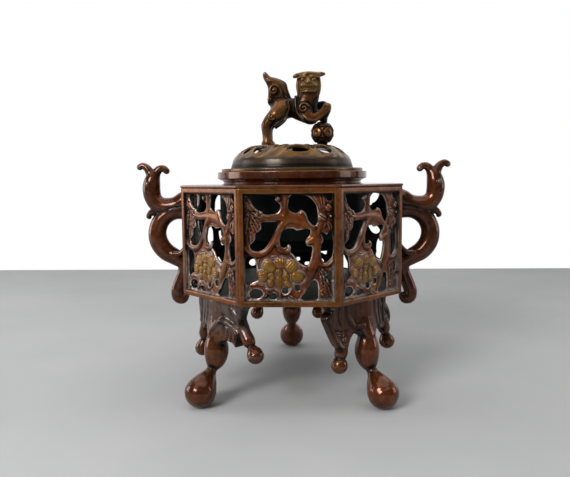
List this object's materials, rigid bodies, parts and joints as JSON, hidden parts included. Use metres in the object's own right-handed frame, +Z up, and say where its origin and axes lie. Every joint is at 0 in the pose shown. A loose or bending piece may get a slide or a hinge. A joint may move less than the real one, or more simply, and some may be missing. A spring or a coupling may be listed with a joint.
{
  "type": "incense burner",
  "caption": "Octagonal openwork bronze incense burner on ball-footed legs, with beast handles, an inner ash bowl and a lift-off pierced lid topped by a lion with a ball.",
  "frame": {"origin": "at table height in the middle of the whole burner's box; the body's vertical axis stands 6.75 mm in front of it, because the back foot reaches further out than the front panel", "axes": "+X towards the right-hand handle, -Y towards the front panel, +Z up"},
  "size_m": [0.1638, 0.123, 0.1622],
  "materials": {
    "bronze": "glossy red-brown patina, worn to gold on the edges",
    "lid_bronze": "dark brown patina, worn on the raised scroll",
    "lion_bronze": "golden-brown patina, dark in the hollows",
    "inner_bronze": "dull dark grey-green, sooted"
  },
  "bodies": {
    "burner": {"floor_plate": "inner_bronze", "panel_front": "bronze", "panel_front_right": "bronze", "panel_right": "bronze", "panel_back_right": "bronze", "panel_back": "bronze", "panel_back_left": "bronze", "panel_left": "bronze", "panel_front_left": "bronze", "shoulder_plate": "bronze", "collar": "bronze", "bowl": "inner_bronze", "handle_right": "bronze", "handle_left": "bronze", "leg_front_left": "bronze", "leg_front_right": "bronze", "leg_back": "bronze", "leg_rivets": "inner_bronze"},
    "lid": {"lid": "lid_bronze", "lion": "lion_bronze", "ball": "lion_bronze"}
  },
  "joints": [
    {"name": "lid_lift", "type": "slide", "parent": "burner", "child": "lid", "axis": [0, 0, 1], "range_m": [0, 0.06]}
  ]
}
